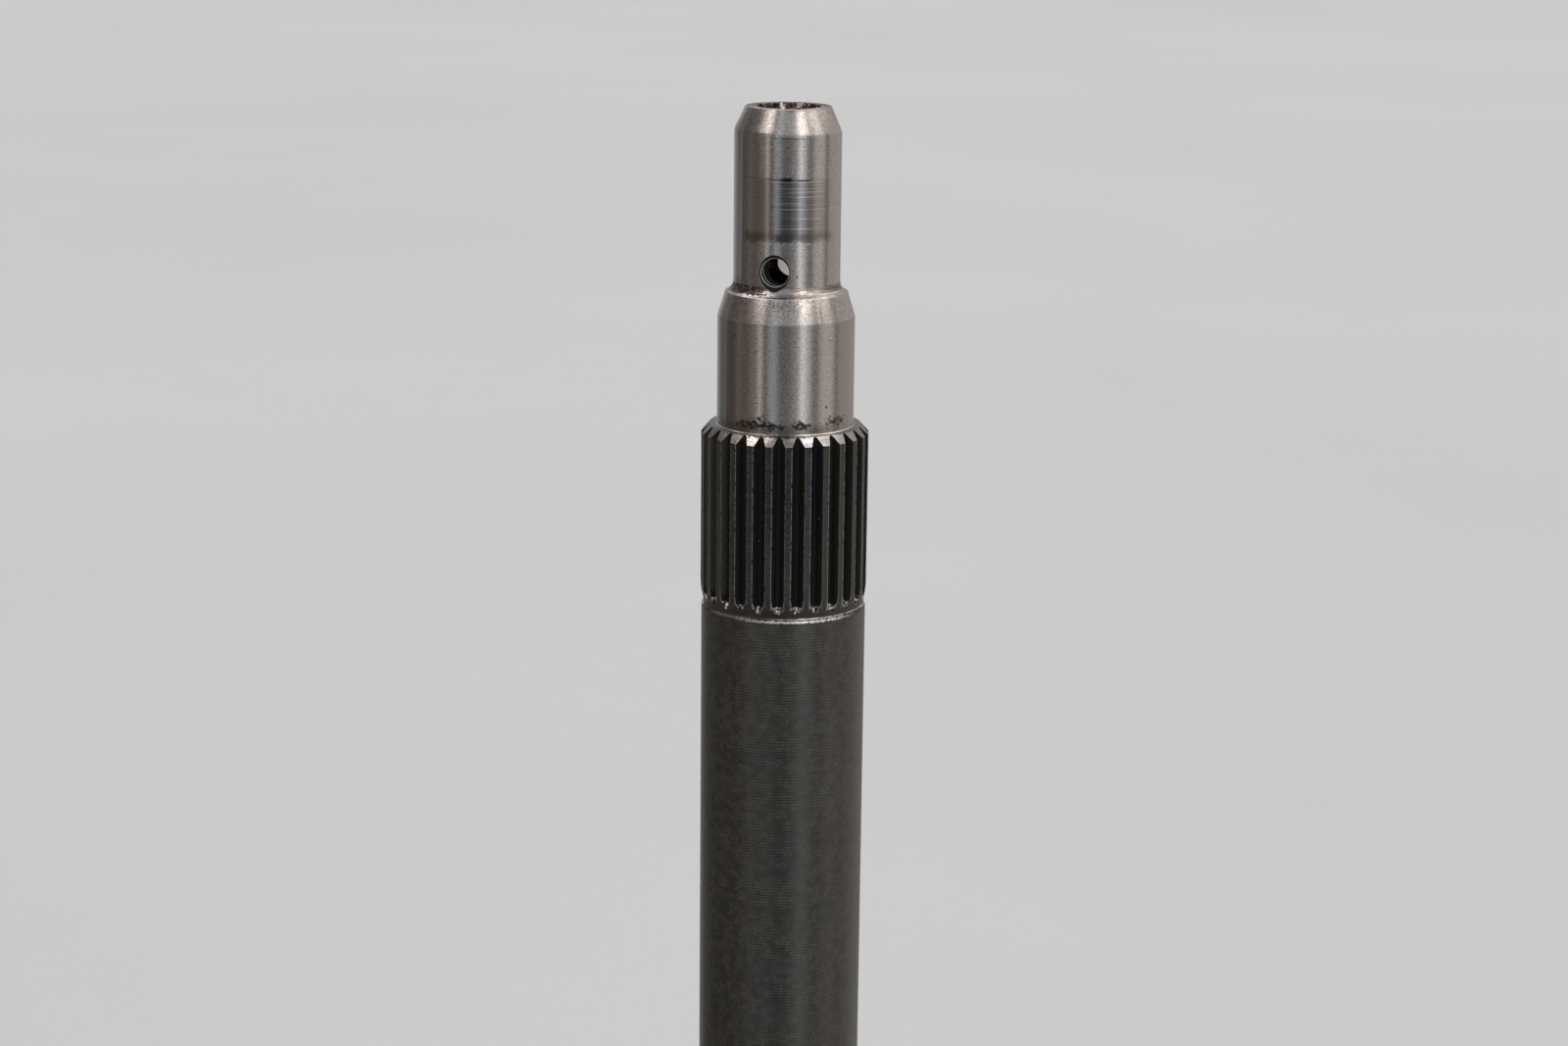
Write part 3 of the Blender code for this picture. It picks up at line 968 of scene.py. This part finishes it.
def makeTurnedMaterial():
    # turned chamfers and steps, left bright
    s = turnedSteel
    look = SteelLook("turnedBrightSteel", s, "colour", "grain", "roughness", metal=1.0)
    look.stretchReflections()
    look.shadeBy("Glitter", "speckle")
    # the fillet: torn tool marks, grime to the left, a smear to the right and a bright rubbed edge
    fillet = s["fillet"]
    look.mark(scratches, "streak", fillet, rough=0.4, amount=0.75, fine=0.22, run=2.0, least=0.5)
    look.mark(scratches, "rosy", fillet, (38, 40, 15), rough=0.4, amount=0.75, fine=0.26, run=2.6, least=0.45)
    look.mark(scratches, "bright", fillet, (40, 36, 15), rough=0.3, amount=0.6, fine=0.2, run=2.6, least=0.70)
    look.mark(patch, "smear", (30.4, 0.7, 0.4), (62, 20, 12), rough=0.4, amount=0.75, ragged=0.8)
    look.mark(
        clots, "grimeAndShade", (30.8, 0.9, 0.3), (-56, 38, 16),
        rough=0.5, amount=0.9, size=0.5, cover=0.62, ragged=0.5,
    )
    look.mark(
        spots, "bright", (31, 0.8, 0.3), (-40, 36, 14),
        rough=0.3, amount=0.8, spacing=0.8, radius=0.2, share=0.4,
    )
    look.mark(
        patch, "bright", (31.92, 0.12, 0.1), (-5, 45, 20), rough=0.3, amount=0.6, ragged=0.5, grainSize=0.5
    )
    look.mark(
        clots, "grimeAndShade", (33.1, 1.2, 0.8), (-4, 17, 8),
        rough=0.45, amount=0.75, size=0.35, cover=0.4, shift=5.0,
    )
    look.mark(clots, "smear", (33.6, 2, 0.8), (5, 75, 25), amount=0.6, size=0.3, cover=0.34, shift=2.0)
    for drop, angle, halfWidth in s["filletLines"]:
        look.mark(
            patch, "bright", (drop, 0.07, 0.06), (angle, halfWidth, 9), rough=0.3, amount=0.5, ragged=0.3
        )
    # the shoulder: dull, with grease and straw-coloured burrs, and tool streaks over the tooth ends
    look.mark(patch, "dull", (55.3, 0.14, 0.08), rough=0.4, amount=0.85)
    look.mark(patch, "dull", (56.1, 0.9, 0.15), (180, 140, 8), rough=0.4, amount=0.6)
    look.mark(patch, "bright", s["burrs"], (-21, 13, 4), rough=0.3, amount=0.9, ragged=0.3)
    look.mark(patch, "bright", s["burrs"], (22, 17, 6), rough=0.3, amount=0.6, ragged=0.3)
    look.mark(
        clots, "grease", (55.35, 0.3, 0.2), (-16, 42, 20),
        rough=0.5, amount=0.85, size=0.8, cover=0.5, shift=9.0,
    )
    look.mark(
        spots, "gold", (55.4, 0.35, 0.2), (-20, 34, 14),
        rough=0.3, spacing=0.7, radius=0.2, share=0.4, shift=3.0,
    )
    look.mark(scratches, "streak", (56.15, 0.8, 0.1), rough=0.4, amount=0.4, fine=0.16, run=1.6, least=0.5)
    # the rim of the bore
    look.mark(patch, "dull", (0, 0.1, 0.06), amount=0.4)
    # painted shade: darker clots over the far side of the rim, in the colour of the grime
    look.mark(clots, "grimeAndShade", (0, 0.14, 0.08), (180, 100, 30), rough=0.5, amount=0.85, size=0.35, cover=0.62)
    look.mark(patch, "rusty", (0, 0.4, 0.2), (14, 16, 10), amount=0.6, ragged=0.4)
    return look.finish(look.grain["Grain"], s["bump"])


oxideFinish = {
    "barColour": (0.0212, 0.0222, 0.0180, 1.0),
    "barBrown": (0.0243, 0.0229, 0.0176, 1.0),
    "barBlue": (0.0190, 0.0210, 0.0195, 1.0),
    "barSpeckle": (0.060, 0.060, 0.046, 1.0),
    "barRoughness": (0.27, 0.38),
    "barSpecular": 0.85,
    "barGrain": {"Pitch": 0.52, "Waver": 1.5, "Fine": 0.28, "Run": 7.0},
    "barBump": 0.011,
    "blotchScale": 0.16,
    "mottleScale": 0.6,
    # how much darker and lighter the mottle, feed lines, glitter and grain make the bar, and its lower end
    "barMottled": (0.8, 1.22),
    "barLined": (0.15, 1.85),
    "barGlitter": (0.76, 1.24),
    "barGrained": (0.9, 1.1),
    "barLower": (1.0, 0.83),
    "crestColour": (0.025, 0.0245, 0.0225, 1.0),
    "crestRoughness": (0.34, 0.48),
    "crestSpecular": 0.3,
    "crestGrain": {"Pitch": 0.45, "Waver": 1.0, "Fine": 0.3, "Run": 1.5},
    "crestGlitter": (0.6, 1.35),
    "crestLined": (0.75, 1.25),
    "crestGrained": (0.7, 1.3),
    "crestPaintedShade": (0.014, 0.014, 0.013, 1.0),
    "crestPaintedLight": (0.042, 0.0405, 0.036, 1.0),
    "crestWorn": (0.062, 0.060, 0.056, 1.0),
    "edgeWearAndHighlight": (0.30, 0.29, 0.27, 1.0),
    "edgeWidth": 0.7,        # degrees
    # colour, place round the shaft and amount of the painted shade and painted light on the tooth tops
    "crestLightAndShade": [
        ("crestPaintedShade", (-8, 10, 6), 0.95),
        ("crestPaintedLight", (-62, 20, 8), 0.7),
        ("crestPaintedLight", (43, 15, 7), 1.0),
    ],
    "flareGrain": {"Fine": 0.2, "Run": 2.0},
    "flareGlitter": (0.7, 1.3),
    "toothBump": 0.008,
    "rust": (0.060, 0.030, 0.023, 1.0),
    "gapColour": (0.0128, 0.0126, 0.0118, 1.0),
    "gapRoughness": (0.22, 0.36),
    "gapSpecular": 0.12,
    "gapGrain": {"Fine": 1.5, "Run": 0.8},
    "gapBump": 0.01,
    "gapOil": (0.006, 0.007, 0.018, 1.0),
    "runOut": (85.95, 0.85, 0.25),
    "chipColour": (0.72, 0.70, 0.67, 1.0),
    "rubbedRingAndHighlight": (0.90, 0.86, 0.85, 1.0),
    "strawLine": (0.80, 0.73, 0.65, 1.0),
    "dust": (0.35, 0.34, 0.32, 1.0),
}


def makeBarMaterial():
    # black oxide over turned steel, with the tool's feed lines showing
    s = oxideFinish
    look = SteelLook("blackOxideBar", s, "barColour", "barGrain", "barRoughness")
    tree = look.tree
    look.set("Specular IOR Level", s["barSpecular"])
    here = useGroup(tree, groups["place"])
    blotch = cloud(tree, here["Place"], s["blotchScale"], 4.0)
    mottle = cloud(tree, here["Place"], s["mottleScale"], 5.0)
    look.lay(fade(tree, blotch, 0.4, 0.62), "barBrown")
    look.lay(fade(tree, blotch, 0.5, 0.32), "barBlue")
    look.shade(between(tree, fade(tree, mottle, 0.3, 0.7), *s["barMottled"]))
    unlined = look.colour
    look.shadeBy("Lines", "barLined")
    look.colour = blendColours(tree, fade(tree, mottle, 0.3, 0.55), unlined, look.colour)
    look.shadeBy("Glitter", "barGlitter")
    look.shade(between(tree, fade(tree, here["Drop"], 105.0, 172.0), *s["barLower"]))
    look.shadeBy("Grain", "barGrained")
    speckle = clots(tree, (150, 200, 1), allRound, size=0.3, cover=0.42)
    speckle = calculate(tree, "MULTIPLY", speckle, fade(tree, mottle, 0.40, 0.58))
    look.lay(speckle, "barSpeckle", 0.45, amount=0.8)
    look.mark(spots, "dust", amount=0.85, spacing=2.4, radius=0.12, share=0.22, shift=40.0)
    ridges = calculate(tree, "MULTIPLY", look.grain["Grain"], 0.6)
    ridges = calculate(tree, "ADD", look.grain["Lines"], ridges)
    return look.finish(ridges, s["barBump"])


def fromToothMiddle(tree):
    # degrees from the middle of the nearest tooth, minus to the left
    firstTooth = gapSizes["toothClocking"] - cameraView["azimuth"]
    turn = calculate(tree, "SUBTRACT", useGroup(tree, groups["place"])["Angle"], firstTooth)
    return wrap(tree, turn, 180 / gapSizes["teeth"])


def makeCrestMaterial():
    # black oxide on the tooth tops and the relief, with painted light and shade across the tooth tops, and
    # wear along the tooth edges that doubles as a painted highlight, strongest on the edges that face right
    s = oxideFinish
    look = SteelLook("blackOxideTeeth", s, "crestColour", "crestGrain", "crestRoughness")
    tree = look.tree
    look.set("Specular IOR Level", s["crestSpecular"])
    look.shadeBy("Glitter", "crestGlitter")
    look.shadeBy("Lines", "crestLined")
    look.shadeBy("Grain", "crestGrained")
    # painted shade in the middle and painted light to the sides of the tooth tops
    for colour, across, amount in s["crestLightAndShade"]:
        look.mark(patch, colour, (71, 17, 1), across, amount=amount, ragged=1.5)
    look.mark(patch, "crestWorn", (80, 6, 5), (8, 30, 25), amount=0.3)
    look.mark(scratches, "crestWorn", (71.5, 14, 1), amount=0.6, fine=0.2, run=1.2, least=0.6)
    gapX, gapY = flankPoint(shaftSizes["crestRadius"])
    halfTooth = 180 / gapSizes["teeth"] - math.degrees(math.atan2(gapY, gapX))
    across = fromToothMiddle(tree)
    # wear along the tooth edges, lighter on their right-hand edges as a painted highlight of light from the
    # right
    rubbed = clots(tree, (71, 15, 1), allRound, size=0.8, cover=0.6)
    for side, amount in ((1.0, 0.75), (-1.0, 0.3)):
        towards = calculate(tree, "MULTIPLY", across, side)
        edge = fade(tree, towards, halfTooth - s["edgeWidth"], halfTooth - s["edgeWidth"] / 3)
        look.lay(calculate(tree, "MULTIPLY", edge, rubbed), "edgeWearAndHighlight", 0.3, amount=amount)
    look.mark(patch, "rust", (85.5, 1.4, 0.8), (-42, 7, 6), amount=0.5, ragged=1.5)
    look.mark(spots, "chipColour", amount=0.8, spacing=2.0, radius=0.1, share=0.14, shift=20.0)
    return look.finish(look.grain["Grain"], s["toothBump"])


def makeFlareMaterial():
    # the flare under the teeth, its oxide rubbed through to a thin ring of bare steel, made brighter than
    # steel as a painted highlight of its edge
    s = oxideFinish
    look = SteelLook("rubbedFlare", s, "barColour", "flareGrain", "barRoughness")
    look.shadeBy("Glitter", "flareGlitter")
    ring = {"ragged": 0.8, "grainSize": 0.5}
    faint = {"ragged": 1.0, "grainSize": 0.5}
    # a fainter band above the ring and the ring itself: bare steel where the oxide rubbed through, brightened
    # as painted highlights
    look.mark(
        patch, "rubbedRingAndHighlight", (87.6, 0.2, 0.15), (-40, 16, 12), rough=0.4, metal=0.6, amount=0.3, **faint
    )
    look.mark(patch, "rubbedRingAndHighlight", (87.78, 0.18, 0.11), (14, 32, 18), rough=0.32, metal=1.0, **ring)
    look.mark(patch, "strawLine", (87.3, 0.07, 0.06), (36, 42, 10), rough=0.32, metal=1.0, ragged=0.3)
    look.mark(
        clots, "rubbedRingAndHighlight", (87.5, 0.3, 0.2), (180, 110, 20), rough=0.35, metal=1.0, size=0.7, cover=0.5
    )
    look.mark(
        patch, "gapColour", (88.08, 0.09, 0.06), (-2, 26, 12), rough=0.4, metal=0.0, amount=0.8, ragged=0.3
    )
    look.mark(patch, "rust", (87.2, 0.8, 0.4), (-44, 10, 8), amount=0.5, ragged=1.2)
    return look.finish(look.grain["Grain"], s["toothBump"])


def makeGapMaterial():
    # oily black flanks and roots, with bright chips where the cutter ran out
    s = oxideFinish
    look = SteelLook("oilyGaps", s, "gapColour", "gapGrain", "gapRoughness")
    tree = look.tree
    look.set("Specular IOR Level", s["gapSpecular"])
    look.mark(patch, "gapOil", (64, 9, 4), (19, 5, 3), ragged=2.0)
    # flanks that face right, on the left side, get painted light, as pale as the tooth tops
    across = fromToothMiddle(tree)
    facing = calculate(tree, "GREATER_THAN", across, 0.0)
    facing = calculate(tree, "MULTIPLY", facing, fade(tree, across, 5.2, 4.4))
    pale = patch(tree, (70.5, 14, 1), (-62, 20, 6), ragged=1.0)
    look.lay(calculate(tree, "MULTIPLY", facing, pale), "crestPaintedLight", 0.4, amount=0.8)
    look.mark(patch, "gapColour", (85.8, 1.6, 0.4), rough=0.7)
    look.mark(clots, "chipColour", s["runOut"], rough=0.3, metal=0.8, size=0.5, cover=0.47)
    look.mark(spots, "chipColour", s["runOut"], rough=0.3, metal=0.8, spacing=0.7, radius=0.15, share=0.3)
    look.mark(spots, "chipColour", spacing=1.5, radius=0.1, share=0.08, shift=60.0)
    look.mark(spots, "chipColour", (68, 12, 3), (34, 14, 6), spacing=0.9, radius=0.09, share=0.22, shift=30.0)
    return look.finish(look.grain["Glitter"], s["gapBump"])


drilledSteel = {
    "bore": (0.048, 0.041, 0.036, 1.0),
    "roughness": (0.35, 0.55),
    "grain": {"Fine": 0.3, "Run": 1.0},
    "bump": 0.05,
    "glint": (0.75, 0.72, 0.70, 1.0),
    "rust": (0.16, 0.055, 0.030, 1.0),
    # painted shade down the oil hole
    "hole": (0.016, 0.015, 0.014, 1.0),
    "holeRoughness": (0.55, 0.75),
    "holeSpecular": 0.15,
    "holeBump": 0.02,
    # painted highlight colour of the rings down the hole
    "ring": (0.78, 0.75, 0.72, 1.0),
    "paintedFarLight": (0.80, 0.765, 0.75, 1.0),
    # drop, degrees round and size of the bright chips in the mouth
    "chips": [(0.65, 191, 0.5), (0.12, 193, 0.22), (0.5, 161, 0.3), (0.2, 156, 0.2), (0.95, 172, 0.16)],
    # distance from the shaft's axis and half width of the painted highlights, bright rings down the hole
    "holeRingHighlights": [(8.55, 0.2), (7.0, 0.32)],
}


def makeBoreMaterial():
    # dark drilled steel, its mouth torn, glinting and touched with rust
    s = drilledSteel
    look = SteelLook("drilledBore", s, "bore", "grain", "roughness", "Glitter", 0.9)
    look.mark(clots, "rust", (0.8, 1.6, 0.5), amount=0.35, size=0.5, cover=0.35)
    look.mark(spots, "glint", rough=0.25, amount=0.8, spacing=0.42, radius=0.14, share=0.5)
    for drop, angle, size in s["chips"]:
        look.mark(
            patch, "glint", (drop, size, 0.12), (angle, size * 8, 3), rough=0.3, ragged=1.2, grainSize=0.4
        )
    return look.finish(look.grain["Glitter"], s["bump"])


def makeHoleMaterial():
    # the oil hole: a near-black wall that is painted shade, two bright rings that are painted highlights, and
    # painted light on the far half
    s = drilledSteel
    look = SteelLook("drilledOilHole", s, "hole", "grain", "holeRoughness", "Glitter")
    tree = look.tree
    look.set("Specular IOR Level", s["holeSpecular"])
    along = addNode(tree, "ShaderNodeSeparateXYZ", {0: useGroup(tree, groups["place"])["Place"]}).outputs["Y"]
    depth = calculate(tree, "ABSOLUTE", along)
    # painted highlights: two bright rings down the hole
    for ring, halfWidth in s["holeRingHighlights"]:
        away = calculate(tree, "ABSOLUTE", calculate(tree, "SUBTRACT", depth, ring))
        mask = calculate(tree, "SUBTRACT", 1.0, fade(tree, away, halfWidth * 0.6, halfWidth))
        look.lay(mask, "ring", 0.5, 0.25)
    # painted light: the far half, lit from behind, is laid in bright steel
    look.lay(fade(tree, along, 2.0, 3.0), "paintedFarLight", 0.22, 1.0)
    return look.finish(look.grain["Glitter"], s["holeBump"])


finishes = {
    "bore": makeBoreMaterial(),
    "turned": makeTurnedMaterial(),
    "nose": makeNoseMaterial(),
    "journal": makeJournalMaterial(),
    "crest": makeCrestMaterial(),
    "flare": makeFlareMaterial(),
    "bar": makeBarMaterial(),
    "gap": makeGapMaterial(),
    "hole": makeHoleMaterial(),
}
print("materials made")


# how far above the step and the shoulder a finish changes
zoneMargins = {"fillet": 2.2, "corner": 0.05}


def zoneAt(radius, drop):
    # the finish of a turned face, by the middle of the face
    s = shaftSizes
    if drop < s["boreDrop"] + s["boreTipDepth"] and radius < s["boreMouthRadius"]:
        return "bore"
    if drop < s["noseChamferDrop"]:
        return "turned"
    if drop < s["stepDrop"] - zoneMargins["fillet"]:
        return "nose"
    if drop < s["coneDrop"]:
        return "turned"
    if drop < s["shoulderDrop"] - zoneMargins["corner"]:
        return "journal"
    if drop < s["crestDrop"]:
        return "turned"
    if drop < s["reliefDrop"]:
        return "crest"
    if drop < s["barDrop"]:
        return "flare"
    return "bar"


def finishBlank(blank):
    names = list(finishes)
    for name in names:
        blank.data.materials.append(finishes[name])
    for face in blank.data.polygons:
        radius = face.center.xy.length / millimetre
        drop = (topZ - face.center.z) / millimetre
        face.material_index = names.index(zoneAt(radius, drop))


def makeShaft():
    blank = turnBlank()
    finishBlank(blank)
    wearBlank(blank)
    print("blank turned")
    gapCutter = makeGapCutter()
    gapCutter.data.materials.append(finishes["gap"])
    cutWith(blank, roughenGapEnds(repeatGaps(gapCutter)))
    print("spline cut")
    holeCutter = makeHoleCutter()
    holeCutter.data.materials.append(finishes["hole"])
    cutWith(blank, holeCutter)
    print("oil hole drilled")
    onlySelect(blank)
    bpy.ops.object.shade_smooth_by_angle(angle=math.radians(shaftSizes["smoothAngle"]))
    return blank


studio = {
    "background": (0.61, 0.61, 0.61, 1.0),
    "ambient": (0.089, 0.086, 0.086),
    "neutral": (1.0, 1.0, 1.0),
    "warm": (1.09, 0.99, 0.92),
    "cool": (0.95, 1.0, 1.06),
    "brown": (1.8, 1.0, 0.5),
}
# degrees to the image right, half width, softness, lowest and highest elevation, its softness, strength, tint
softBoxes = {
    "backWall": (177, 29, 16, -90, 60, 20, 0.335, "neutral"),
    "leftBackWall": (-148, 14, 13, -90, 60, 20, 0.13, "neutral"),
    "leftFar": (-122, 3, 2, -90, 60, 15, 0.12, "neutral"),
    "leftBrown": (-80, 26, 16, -90, 60, 15, 0.022, "brown"),
    "leftGlow": (-86, 4, 4, -90, 60, 15, 0.05, "warm"),
    "leftShoulder": (-56, 5, 5, -90, 60, 15, 0.11, "warm"),
    "leftWindow": (-43.5, 3.5, 2, -90, 60, 15, 0.62, "warm"),
    "leftWindowSide": (-61, 12, 2, 19, 60, 15, 0.62, "warm"),
    "leftWindowHigh": (-50, 6, 7, 21, 60, 15, 1.5, "warm"),
    "leftWindowTop": (-78, 20, 8, 48, 84, 12, 2.5, "warm"),
    "front": (-22, 8, 2, -90, 75, 15, 0.31, "cool"),
    "frontRight": (0, 15, 2, -90, 60, 15, 0.05, "cool"),
    "frontHigh": (-5, 24, 12, 0, 75, 20, 0.22, "neutral"),
    "keyStrip": (30, 1, 30, -90, 60, 15, 0.96, "neutral"),
    "keyCore": (28, 3.5, 1.5, -90, 60, 15, 0.68, "cool"),
    "keyEdge": (38, 2.5, 2, -90, 60, 15, 0.28, "warm"),
    "keyHigh": (39, 12, 3, 17, 60, 15, 1.55, "warm"),
    "keyTop": (66, 20, 8, 48, 84, 12, 2.4, "neutral"),
    "rightFill": (73, 16, 7, -90, 60, 15, 0.44, "warm"),
    "rightHigh": (75, 16, 12, 9, 75, 15, 0.36, "warm"),
    "rightWall": (121, 24.5, 4, -90, 75, 15, 0.33, "warm"),
    "rightWallHigh": (107, 40, 2.5, 17, 60, 15, 0.30, "warm"),
    "ceilingBehind": (180, 58, 14, 38, 120, 10, 2.2, "neutral"),
}


def makeSoftBoxGroup():
    inputs = {
        "Azimuth": 0.0,
        "Elevation": 0.0,
        "Centre": 0.0,
        "Half Width": 20.0,
        "Softness": 5.0,
        "Low": -90.0,
        "High": 30.0,
        "Edge": 10.0,
        "Strength": 1.0,
        "Tint": (1.0, 1.0, 1.0),
    }
    tree, start, end = newGroup("softBox", inputs, {"Light": "NodeSocketVector"})
    turn = wrap(tree, calculate(tree, "SUBTRACT", start["Azimuth"], start["Centre"]), 180.0)
    turn = calculate(tree, "ABSOLUTE", turn)
    inner = calculate(tree, "SUBTRACT", start["Half Width"], start["Softness"])
    outer = calculate(tree, "ADD", start["Half Width"], start["Softness"])
    across = calculate(tree, "SUBTRACT", 1.0, fade(tree, turn, inner, outer))
    above = fade(tree, start["Elevation"], start["Low"], calculate(tree, "ADD", start["Low"], start["Edge"]))
    full = calculate(tree, "SUBTRACT", start["High"], start["Edge"])
    below = fade(tree, start["Elevation"], full, start["High"])
    upright = calculate(tree, "SUBTRACT", above, below)
    level = calculate(tree, "MULTIPLY", calculate(tree, "MULTIPLY", across, upright), start["Strength"])
    scaled = {0: start["Tint"], "Scale": level}
    light = addNode(tree, "ShaderNodeVectorMath", scaled, operation="SCALE").outputs[0]
    tree.links.new(light, end["Light"])
    return tree


def lightStudio():
    world = bpy.data.worlds.new("paleStudio")
    world.use_nodes = True
    bpy.context.scene.world = world
    tree = world.node_tree
    tree.nodes.clear()
    box = makeSoftBoxGroup()
    direction = addNode(tree, "ShaderNodeTexCoord").outputs["Generated"]
    split, azimuth = fromPhotoFront(tree, direction)
    elevation = calculate(tree, "DEGREES", calculate(tree, "ARCSINE", split["Z"]))
    light = studio["ambient"]
    labels = ("Centre", "Half Width", "Softness", "Low", "High", "Edge", "Strength")
    for *numbers, tint in softBoxes.values():
        values = {label: float(number) for label, number in zip(labels, numbers)}
        values |= {"Azimuth": azimuth, "Elevation": elevation, "Tint": studio[tint]}
        one = useGroup(tree, box, values)["Light"]
        light = addNode(tree, "ShaderNodeVectorMath", {0: light, 1: one}, operation="ADD").outputs[0]
    cameraRay = addNode(tree, "ShaderNodeLightPath").outputs["Is Camera Ray"]
    seen = blendColours(tree, cameraRay, light, studio["background"])
    background = addNode(tree, "ShaderNodeBackground", {"Color": seen}).outputs[0]
    addNode(tree, "ShaderNodeOutputWorld", {"Surface": background})
    world.cycles.sampling_method = "MANUAL"
    world.cycles.sample_map_resolution = 1024


floorFinish = {
    "size": 40.0,
    "colour": (0.610, 0.630, 0.640, 1.0),
    "shade": (0.585, 0.604, 0.614, 1.0),
    "roughness": 0.8,
}


def layFloor():
    # a plain pale floor, left out of the steel's reflections
    bpy.ops.object.select_all(action="DESELECT")
    bpy.ops.mesh.primitive_plane_add(size=floorFinish["size"], location=(0, 0, shaftLow[2]))
    floor = bpy.context.object
    floor.name = "paleFloor"
    bpy.ops.object.transform_apply()
    material, tree, shader = newMaterial("paleFloorPaint")
    place = addNode(tree, "ShaderNodeTexCoord").outputs["Object"]
    clouds = fade(tree, cloud(tree, place, 1.3, 5.0), 0.3, 0.7)
    colour = blendColours(tree, clouds, floorFinish["colour"], floorFinish["shade"])
    tree.links.new(colour, shader.inputs["Base Color"])
    shader.inputs["Roughness"].default_value = floorFinish["roughness"]
    floor.data.materials.append(material)
    floor.visible_glossy = False
    floor.visible_shadow = False


addCamera()
lightStudio()
layFloor()
print("studio ready")
shaft = makeShaft()
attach(shaft, "root")
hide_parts("input_shaft")

scene = bpy.context.scene
scene.view_settings.view_transform = "Standard"
scene.view_settings.look = "None"
